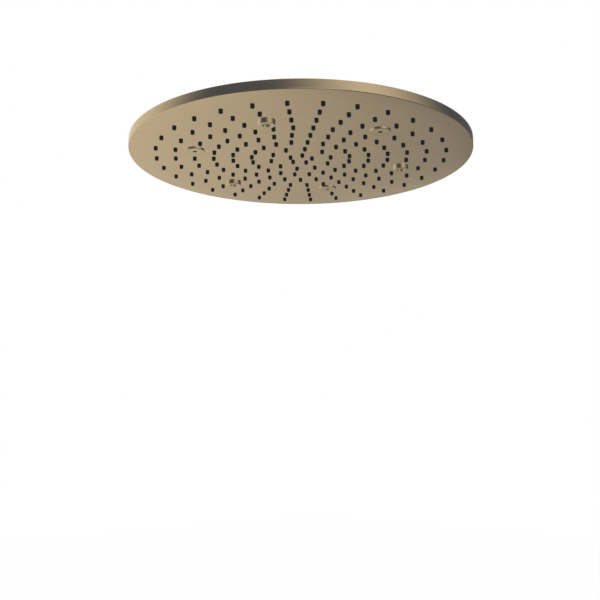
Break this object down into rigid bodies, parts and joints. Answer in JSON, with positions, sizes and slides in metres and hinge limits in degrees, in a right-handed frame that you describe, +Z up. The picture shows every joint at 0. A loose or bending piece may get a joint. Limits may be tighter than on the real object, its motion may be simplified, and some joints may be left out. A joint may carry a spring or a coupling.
{
  "type": "shower head",
  "caption": "Round flat overhead shower head with rings of rubber nozzles, mist jets and spouts in its face, on a swivelling ball joint with a female inlet thread.",
  "frame": {"origin": "mouth of the inlet thread, on its axis", "axes": "+Z up along the inlet axis towards the supply pipe, the spray face looks along -Z, and +Y points to one of the spouts"},
  "size_m": [0.3999, 0.4, 0.0629],
  "materials": {
    "bronze": "satin bronze coating on stainless steel",
    "jet_bronze": "polished bronze coating on brass",
    "silicone": "matt black silicone",
    "seal": "matt black rubber",
    "plastic": "plain moulded off-white",
    "brass": "plain turned brass",
    "steel": "plain stainless steel"
  },
  "bodies": {
    "inlet": {"swivel_ball": "bronze", "inlet_washer": "seal", "filter_screen": "steel", "flow_regulator": "plastic"},
    "seat_ring": {"ball_seat": "seal"},
    "liner_ring": {"ball_liner": "plastic"},
    "head": {"face_pan": "bronze", "back_plate": "bronze", "collar_nut": "bronze", "lock_ring": "bronze", "mist_jet_1": "jet_bronze", "mist_jet_2": "jet_bronze", "mist_jet_3": "jet_bronze", "mist_core_1": "jet_bronze", "mist_core_2": "jet_bronze", "mist_core_3": "jet_bronze", "spout_1": "jet_bronze", "spout_2": "jet_bronze", "spout_3": "jet_bronze", "spout_insert_1": "jet_bronze", "spout_insert_2": "jet_bronze", "spout_insert_3": "jet_bronze", "nozzle_mat": "silicone", "chamber_seal": "seal", "socket_gasket": "seal", "mist_gasket_1": "seal", "mist_gasket_2": "seal", "mist_gasket_3": "seal", "spout_gasket_1": "seal", "spout_gasket_2": "seal", "spout_gasket_3": "seal", "pressure_plate": "plastic", "ball_socket": "brass", "jet_lock_nuts": "brass", "standoffs": "steel", "back_screws": "steel"}
  },
  "joints": [
    {"name": "swivel", "type": "hinge", "parent": "inlet", "child": "seat_ring", "pos_m": [0, 0, -0.035], "axis": [0, 0, 1], "continuous": true},
    {"name": "tilt_x", "type": "hinge", "parent": "seat_ring", "child": "liner_ring", "pos_m": [0, 0, -0.035], "axis": [1, 0, 0], "range_deg": [-15, 15]},
    {"name": "tilt_y", "type": "hinge", "parent": "liner_ring", "child": "head", "pos_m": [0, 0, -0.035], "axis": [0, 1, 0], "range_deg": [-15, 15]}
  ]
}
